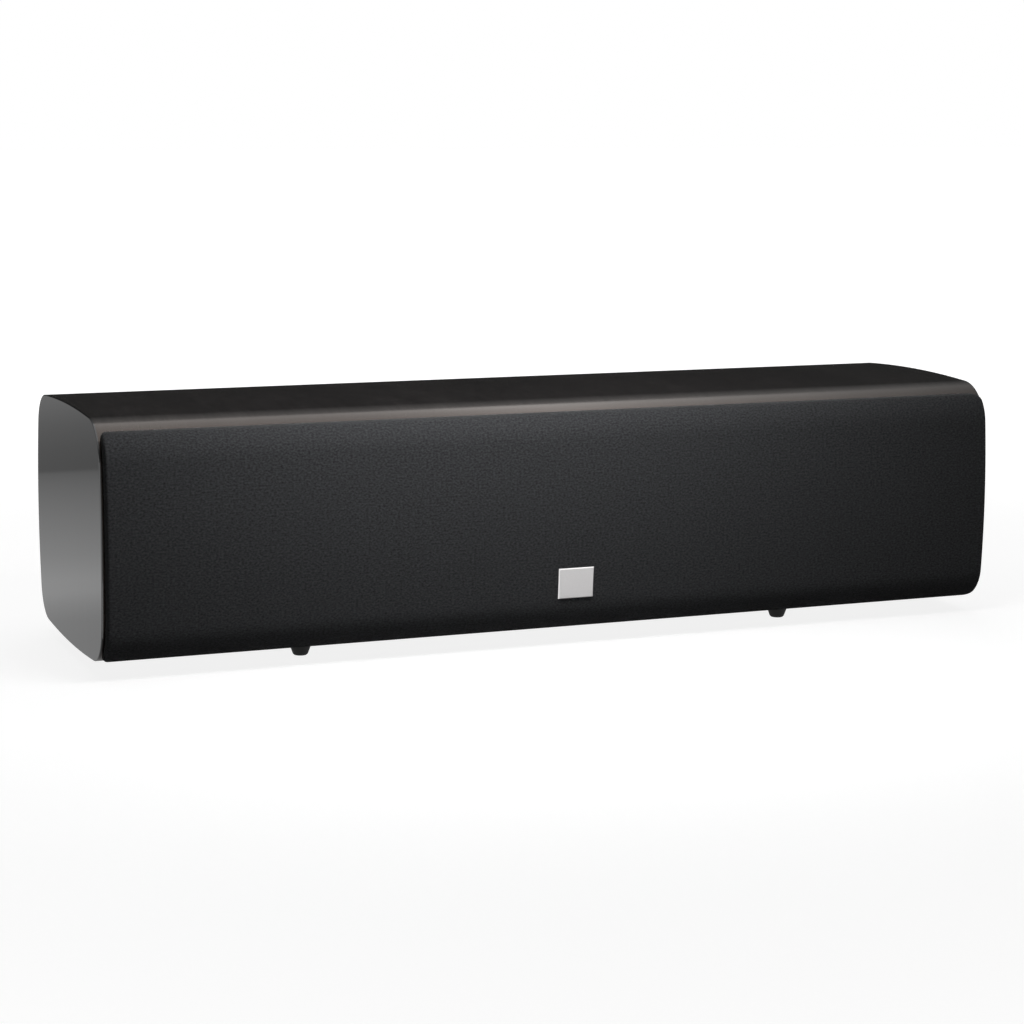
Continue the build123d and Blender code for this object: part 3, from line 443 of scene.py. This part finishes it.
def grille_cloth():
    """Cloth stretched over the grille, as a function of two distances from the middle of its face.

    A point has a core place inside the rounded rectangle and a reach beyond it. The reach runs
    outwards on the bowed face, then round the edge on a quarter circle, then straight back.
    """
    half_length = (grille_high.x - grille_low.x) / 2
    half_height = (grille_high.z - grille_low.z) / 2
    core_length, core_height = half_length - CLOTH_CORNER, half_height - CLOTH_CORNER
    face_reach = CLOTH_CORNER - CLOTH_EDGE
    turn_reach = CLOTH_EDGE * math.pi / 2
    side_depth = GRILLE_PROUD - GRILLE_SEAT_GAP - CLOTH_EDGE
    reach_steps = np.concatenate([
        np.linspace(0, face_reach, FACE_POINTS)[1:],
        face_reach + np.linspace(0, turn_reach, TURN_POINTS)[1:],
        face_reach + turn_reach + np.linspace(0, side_depth, SIDE_POINTS)[1:],
    ])

    def steps(core, count):
        """Distances across the cloth: one edge, the core, the other edge."""
        inside = np.linspace(-core, core, count)
        return np.concatenate([-core - reach_steps[::-1], inside, core + reach_steps])

    along, across = steps(core_length, CLOTH_LENGTH_POINTS), steps(core_height, CLOTH_HEIGHT_POINTS)
    a, b = np.meshgrid(along, across, indexing="ij")
    core_x, core_z = np.clip(a, -core_length, core_length), np.clip(b, -core_height, core_height)
    over_x, over_z = a - core_x, b - core_z
    reach = np.maximum(np.abs(over_x), np.abs(over_z))
    length = np.maximum(np.hypot(over_x, over_z), NO_LENGTH)
    turn = np.clip((reach - face_reach) / CLOTH_EDGE, 0, math.pi / 2)
    out = np.minimum(reach, face_reach) + CLOTH_EDGE * np.sin(turn)
    back = CLOTH_EDGE * (1 - np.cos(turn)) + np.maximum(reach - face_reach - turn_reach, 0)
    x = core_x + out * over_x / length
    z = (grille_low.z + grille_high.z) / 2 + core_z + out * over_z / length
    y = front_profile(z) + back - CLOTH_STAND_OFF
    points = np.stack([x, y, z], -1)
    cloth = mesh_piece("grille_cloth_sheet", points, grid_faces(*a.shape), finishes["grille_cloth"])
    middle = points[a.shape[0] // 2]
    rise = np.concatenate([[0], np.cumsum(np.linalg.norm(np.diff(middle, axis=0), axis=1))])
    flat = np.stack([a, np.broadcast_to(rise, a.shape)], -1).reshape(-1, 2)
    corners = np.empty(len(cloth.data.loops), dtype=np.int32)
    cloth.data.loops.foreach_get("vertex_index", corners)
    uv = cloth.data.uv_layers.new(name="flat_cloth")
    uv.data.foreach_set("uv", flat[corners].ravel())
    wall = cloth.modifiers.new("thickness", "SOLIDIFY")
    wall.thickness = CLOTH_THICKNESS
    wall.offset = -1.0
    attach(cloth, "grille")
    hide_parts("grille_cloth")


grille_cloth()


# Woofer suspension
def turned_piece(name, centre, radius, depth, material):
    """Closed profile of radii and depths turned round the woofer's axis, which lies along Y."""
    angle = np.linspace(0, 2 * math.pi, TURN_STEPS, endpoint=False)
    points = np.stack([
        centre.x + np.outer(np.cos(angle), radius),
        np.broadcast_to(depth, (TURN_STEPS, len(depth))),
        centre.z + np.outer(np.sin(angle), radius),
    ], -1)
    return mesh_piece(name, points, grid_faces(TURN_STEPS, len(radius), True, True), material)


def bend_with_cone(piece):
    """Bake a turned piece's placement into its points; nothing ties it to the cone's stroke.
    """
    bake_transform(piece)


def surround(side):
    """Rubber half roll: a flat rim, a half circle forward, a flat lap on the cone."""
    name = side + "_woofer_surround"
    centre = middle_of(name)
    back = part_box(name)[1].y
    face = back - RUBBER_THICKNESS
    half_turn = np.linspace(0, math.pi, ROLL_POINTS)
    front_r = np.concatenate([[RIM_RADIUS], ROLL_CENTRE + ROLL_RADIUS * np.cos(half_turn), [LAP_RADIUS]])
    front_y = np.concatenate([[face], face - ROLL_RADIUS * np.sin(half_turn), [face]])
    inside = ROLL_RADIUS - RUBBER_THICKNESS
    back_r = np.concatenate([[LAP_RADIUS], ROLL_CENTRE - inside * np.cos(half_turn), [RIM_RADIUS]])
    back_y = np.concatenate([[back], back - ROLL_RADIUS * np.sin(half_turn), [back]])
    radius, depth = np.concatenate([front_r, back_r]), np.concatenate([front_y, back_y])
    roll = turned_piece(name + "_roll", centre, radius, depth, finishes["soft_rubber"])
    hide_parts(name)
    bend_with_cone(roll)


def spider(side):
    """Cotton disc from the voice coil to the frame: flat at its neck and rim, with cosine waves between."""
    name = side + "_woofer_spider"
    centre = middle_of(name)
    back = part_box(name)[1].y
    waves = np.linspace(SPIDER_WAVE_START, SPIDER_SEAT, SPIDER_POINTS)
    front_r = np.concatenate([[SPIDER_NECK], waves, [SPIDER_RIM]])
    run = np.clip((front_r - SPIDER_WAVE_START) / (SPIDER_SEAT - SPIDER_WAVE_START), 0, 1)
    lift = SPIDER_WAVE * (1 - np.cos(2 * math.pi * SPIDER_WAVES * run)) / 2
    front_y = back - COTTON_THICKNESS - lift
    radius = np.concatenate([front_r[::-1], front_r])
    depth = np.concatenate([front_y[::-1], front_y + COTTON_THICKNESS])
    disc = turned_piece(name + "_disc", centre, radius, depth, finishes["spider"])
    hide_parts(name)
    bend_with_cone(disc)


for woofer_side in ("left", "right"):
    surround(woofer_side)
    spider(woofer_side)


# Cross-head screws
def merge_points(mesh):
    """Join points that lie together, such as a pole's."""
    work = bmesh.new()
    work.from_mesh(mesh)
    bmesh.ops.remove_doubles(work, verts=work.verts, dist=MERGE_DISTANCE)
    bmesh.ops.recalc_face_normals(work, faces=work.faces)
    work.to_mesh(mesh)
    work.free()


def screw_heads(node, places, seat, outwards):
    """Screws turned from one profile; outwards is the sense along Y that their heads face.

    The head falls with the fourth power of its radius, over a straight shank with a pointed end. The cross
    is sunk where the lesser of the sideways distances |x| and |z| is within its arm's half width, and the
    greater within its reach.
    """
    head_r = np.linspace(0, 1, HEAD_POINTS) * HEAD_RADIUS
    head_y = HEAD_HEIGHT * (1 - HEAD_FALL * (head_r / HEAD_RADIUS) ** 4)
    radius = np.concatenate([head_r, [HEAD_RADIUS, SHANK_RADIUS, SHANK_RADIUS, 0.0]])
    profile = np.concatenate([head_y, [0, 0, SHANK_RADIUS - SHANK_LENGTH, -SHANK_LENGTH]])
    angle = np.linspace(0, 2 * math.pi, HEAD_TURN_STEPS, endpoint=False)
    x, z = np.outer(np.cos(angle), radius), np.outer(np.sin(angle), radius)
    height = np.broadcast_to(profile, x.shape)
    arm, reach = np.minimum(np.abs(x), np.abs(z)), np.maximum(np.abs(x), np.abs(z))
    beside = np.clip((CROSS_WIDTH - arm) / CROSS_WALL, 0, 1)
    within = np.clip((CROSS_REACH - reach) / CROSS_END, 0, 1)
    y = height - CROSS_DEPTH * beside * within * (height > 0)
    one = np.stack([x, outwards * y, z], -1)
    offsets = np.array([[px, seat, pz] for px, pz in places])
    points = offsets[:, None, None, :] + one[None]
    faces = grid_faces(HEAD_TURN_STEPS, len(radius), True)[:, ::outwards]
    faces = np.concatenate([faces + index * x.size for index in range(len(places))])
    screws = mesh_piece(node + "_cross_head", points, faces, finishes["black_screw"])
    merge_points(screws.data)
    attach(screws, "cabinet")
    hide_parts(node)


def diagonal_places(node, circle):
    """Four places on a circle round a node's middle, on the diagonals."""
    centre = middle_of(node)
    half = circle / math.sqrt(2)
    return [(centre.x + i * half, centre.z + j * half) for i in (-1, 1) for j in (-1, 1)]


baffle_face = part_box("front_baffle")[0].y
woofer_places = [
    place for side in ("left", "right")
    for place in diagonal_places(side + "_woofer_frame", WOOFER_SCREW_CIRCLE)
]
tweeter_places = diagonal_places("tweeter_faceplate", TWEETER_SCREW_CIRCLE)
cup_low, cup_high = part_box("terminal_cup")
cup_places = [
    (x, z) for x in (cup_low.x + CUP_SCREW_INSET, cup_high.x - CUP_SCREW_INSET)
    for z in (cup_low.z + CUP_SCREW_INSET, cup_high.z - CUP_SCREW_INSET)
]
screw_heads("woofer_screws", woofer_places, baffle_face, -1)
screw_heads("tweeter_screws", tweeter_places, baffle_face, -1)
screw_heads("terminal_screws", cup_places, cup_high.y, 1)


# Stage: background and floor
AMBIENT = 0.06
FLOOR_ALBEDO = 0.30
FLOOR_GLOW = 0.86
FLOOR_REACH = 14.0
GLOW_NEAR = 0.45
GLOW_FAR = 1.1


def background_strength(owner, unseen):
    """Strength from the Light Path: 1 for camera, glossy and transmission rays, unseen for the rest.

    Gives the node whose Result is the strength and whose To Max holds the 1.
    """
    path = add_node(owner, "ShaderNodeLightPath")
    total = path.outputs["Is Camera Ray"]
    for ray in ("Is Glossy Ray", "Is Transmission Ray"):
        either = add_node(owner, "ShaderNodeMath", operation="MAXIMUM")
        join(owner, total, either.inputs[0])
        join(owner, path.outputs[ray], either.inputs[1])
        total = either.outputs["Value"]
    strength = add_node(owner, "ShaderNodeMapRange", To_Min=unseen)
    join(owner, total, strength.inputs["Value"])
    return strength


world = bpy.data.worlds.new("studio")
bpy.context.scene.world = world
world.use_nodes = True
sky = world.node_tree.nodes["Background"]
sky.inputs["Color"].default_value = (1, 1, 1, 1)
join(world, background_strength(world, AMBIENT).outputs["Result"], sky.inputs["Strength"])


def flat_card(name, corners, material):
    """Flat four-cornered stage piece."""
    card = mesh_piece(name, np.array(corners, float), np.array([[0, 1, 2, 3]]), material, smooth=False)
    return card


def level_corners(left, right, front, back, height):
    """Corners of a level rectangle that faces up."""
    return [(left, front, height), (right, front, height), (right, back, height), (left, back, height)]


def pale_floor():
    """Matt floor that takes the shadow; its own glow is a little less near the speaker than far off."""
    material = finish(
        "pale_floor",
        Base_Color=(FLOOR_ALBEDO, FLOOR_ALBEDO, FLOOR_ALBEDO, 1),
        Roughness=1.0,
        Specular_IOR_Level=0.0,
        Emission_Color=(1, 1, 1, 1),
    )
    place = add_node(material, "ShaderNodeTexCoord")
    distance = add_node(material, "ShaderNodeVectorMath", operation="LENGTH")
    join(material, place.outputs["Object"], distance.inputs[0])
    level = spread(material, distance.outputs["Value"], FLOOR_GLOW, 1.0, GLOW_NEAR, GLOW_FAR, "SMOOTHSTEP")
    strength = background_strength(material, 0.0)
    join(material, level, strength.inputs["To Max"])
    feed(material, "Emission Strength", strength.outputs["Result"])
    return material


flat_card("floor", level_corners(-FLOOR_REACH, FLOOR_REACH, -FLOOR_REACH, FLOOR_REACH, 0), pale_floor())


# Stage: cards for the reflections
def glow(name, stops, axis):
    """Light-giving card finish whose level runs along one axis; stops are pairs of place and level."""
    material = bpy.data.materials.new(name)
    material.use_nodes = True
    material.node_tree.nodes.clear()
    output = add_node(material, "ShaderNodeOutputMaterial")
    brightest = max(level for _, level in stops)
    emission = add_node(material, "ShaderNodeEmission", Strength=brightest)
    join(material, emission.outputs["Emission"], output.inputs["Surface"])
    start, end = stops[0][0], stops[-1][0]
    run = spread(material, axis_place(material, axis), start=start, end=end)
    grey = [((position - start) / (end - start), (level / brightest,) * 3) for position, level in stops]
    join(material, colour_ramp(material, run, grey), emission.inputs["Color"])
    return material


def reflection_only(card):
    """Card that shows in glossy surfaces and nowhere else."""
    card.visible_camera = False
    card.visible_diffuse = False
    card.visible_transmission = False
    card.visible_shadow = False


# Graded card on the floor behind the speaker: brightest near it, with a darker sheet past its far edge
CARD_LEVELS = [
    (-0.15, 0.44), (0.04, 0.42), (0.10, 0.435), (0.15, 0.503), (0.19, 0.574), (0.235, 0.574),
    (0.33, 0.480), (0.43, 0.417), (0.55, 0.351), (0.67, 0.286), (0.742, 0.234), (0.745, 0.168),
    (0.90, 0.187), (1.07, 0.225), (1.29, 0.300), (1.6, 0.33), (3.0, 0.24),
]
CARD_REACH = 6.0
CARD_LIFT = 0.0005
card_start, card_end = CARD_LEVELS[0][0], CARD_LEVELS[-1][0]
card_corners = level_corners(-CARD_REACH, CARD_REACH, card_start, card_end, CARD_LIFT)
reflection_only(flat_card("rear_floor_card", card_corners, glow("rear_floor_glow", CARD_LEVELS, "Y")))

# Dark flag far behind, which keeps the top dark up to where it turns down to the front
FLAG_LEVELS = [(0.0, 0.02), (1.1, 0.03), (1.6, 0.10), (2.3, 0.21), (3.3, 0.42), (4.9, 0.75)]
FLAG_DISTANCE = 3.0
FLAG_REACH = 9.0
flag_low, flag_top = FLAG_LEVELS[0][0], FLAG_LEVELS[-1][0]
flag_corners = [
    (-FLAG_REACH, FLAG_DISTANCE, flag_low), (FLAG_REACH, FLAG_DISTANCE, flag_low),
    (FLAG_REACH, FLAG_DISTANCE, flag_top), (-FLAG_REACH, FLAG_DISTANCE, flag_top),
]
reflection_only(flat_card("dark_flag", flag_corners, glow("dark_flag", FLAG_LEVELS, "Z")))

# Dim ring round the stage, so that the glossy top stays dark from the other sides as well
RING_LEVELS = [(0.5, 0.60), (1.1, 0.28), (3.0, 0.28), (4.5, 0.80)]
RING_RADIUS = 5.0
RING_STEPS = 64
ring_turn, ring_height = np.meshgrid(
    np.linspace(0, 2 * math.pi, RING_STEPS, endpoint=False), [RING_LEVELS[0][0], RING_LEVELS[-1][0]],
    indexing="ij",
)
ring_points = np.stack([RING_RADIUS * np.cos(ring_turn), RING_RADIUS * np.sin(ring_turn), ring_height], -1)
ring_faces = grid_faces(RING_STEPS, 2, True)
ring = mesh_piece("dim_ring", ring_points, ring_faces, glow("dim_ring", RING_LEVELS, "Z"))
reflection_only(ring)

# Overhead card that faces down, which draws the long highlight along the front edge
STRIP_LEVELS = [
    (-0.32, 2.2), (-0.10, 2.4), (0.05, 2.3), (0.17, 3.0), (0.24, 4.4), (0.31, 3.2), (0.40, 2.4),
    (0.50, 1.95), (0.60, 1.25), (0.70, 0.75), (1.20, 0.4),
]
STRIP_FRONT = -0.45
STRIP_BACK = 0.30
STRIP_HEIGHT = 0.75
strip_left, strip_right = STRIP_LEVELS[0][0], STRIP_LEVELS[-1][0]
strip_corners = level_corners(strip_left, strip_right, STRIP_FRONT, STRIP_BACK, STRIP_HEIGHT)[::-1]
reflection_only(flat_card("overhead_strip", strip_corners, glow("overhead_strip", STRIP_LEVELS, "X")))

# Bright card on the floor left of the badge, which lights the badge's left bevel
SIDE_LEVEL = 2.0
SIDE_HEIGHT = 0.0008
SIDE_LEFT = -0.28
SIDE_RIGHT = -0.06
SIDE_FRONT = -0.30
SIDE_BACK = -0.10
side_levels = [(SIDE_LEFT, SIDE_LEVEL), (SIDE_RIGHT, SIDE_LEVEL)]
side_corners = level_corners(SIDE_LEFT, SIDE_RIGHT, SIDE_FRONT, SIDE_BACK, SIDE_HEIGHT)
reflection_only(flat_card("side_card", side_corners, glow("side_glow", side_levels, "X")))


# Stage: lamps
def soft_box(name, place, target, width, height, level):
    """Soft lamp that looks at a point; its level is what it would show as, where 1 is white."""
    lamp = bpy.data.lights.new(name, "AREA")
    lamp.shape = "RECTANGLE"
    lamp.size, lamp.size_y = width, height
    lamp.energy = level * math.pi * width * height
    box = bpy.data.objects.new(name, lamp)
    box.location = place
    box.rotation_mode = "QUATERNION"
    box.rotation_quaternion = (Vector(target) - Vector(place)).to_track_quat("-Z", "Y")
    box.visible_camera = False
    box.visible_glossy = False
    bpy.context.scene.collection.objects.link(box)


# Name, place, target, width, height and level
soft_box("key_box", (-0.06, -0.25, 0.34), (-0.05, -0.09, 0.11), 0.35, 0.10, 8.8)
soft_box("top_box", (0.0, 0.15, 0.80), (0.0, 0.10, 0.0), 0.90, 0.60, 1.0)
soft_box("rear_box", (0.5, 1.8, 0.9), (0.0, 0.0, 0.08), 1.2, 1.2, 2.5)

# Camera
right = Vector((math.cos(CAMERA_YAW), -math.sin(CAMERA_YAW), 0))
level_ahead = Vector((math.sin(CAMERA_YAW), math.cos(CAMERA_YAW), 0))
ahead = level_ahead * math.cos(CAMERA_PITCH) - Vector((0, 0, math.sin(CAMERA_PITCH)))
down = ahead.cross(right)
rolled_right = right * math.cos(CAMERA_ROLL) + down * math.sin(CAMERA_ROLL)
rolled_down = down * math.cos(CAMERA_ROLL) - right * math.sin(CAMERA_ROLL)
lens = bpy.data.cameras.new("photo_camera")
lens.sensor_width = SENSOR_WIDTH
lens.lens = FOCAL_PIXELS * SENSOR_WIDTH / IMAGE_SIZE
lens.shift_y = (CENTRE_ROW - IMAGE_SIZE / 2) / IMAGE_SIZE
camera = bpy.data.objects.new("photo_camera", lens)
camera.matrix_world = Matrix((rolled_right, -rolled_down, -ahead)).transposed().to_4x4()
camera.location = CAMERA_PLACE
bpy.context.scene.collection.objects.link(camera)
bpy.context.scene.camera = camera
bpy.context.scene.view_settings.view_transform = "Standard"
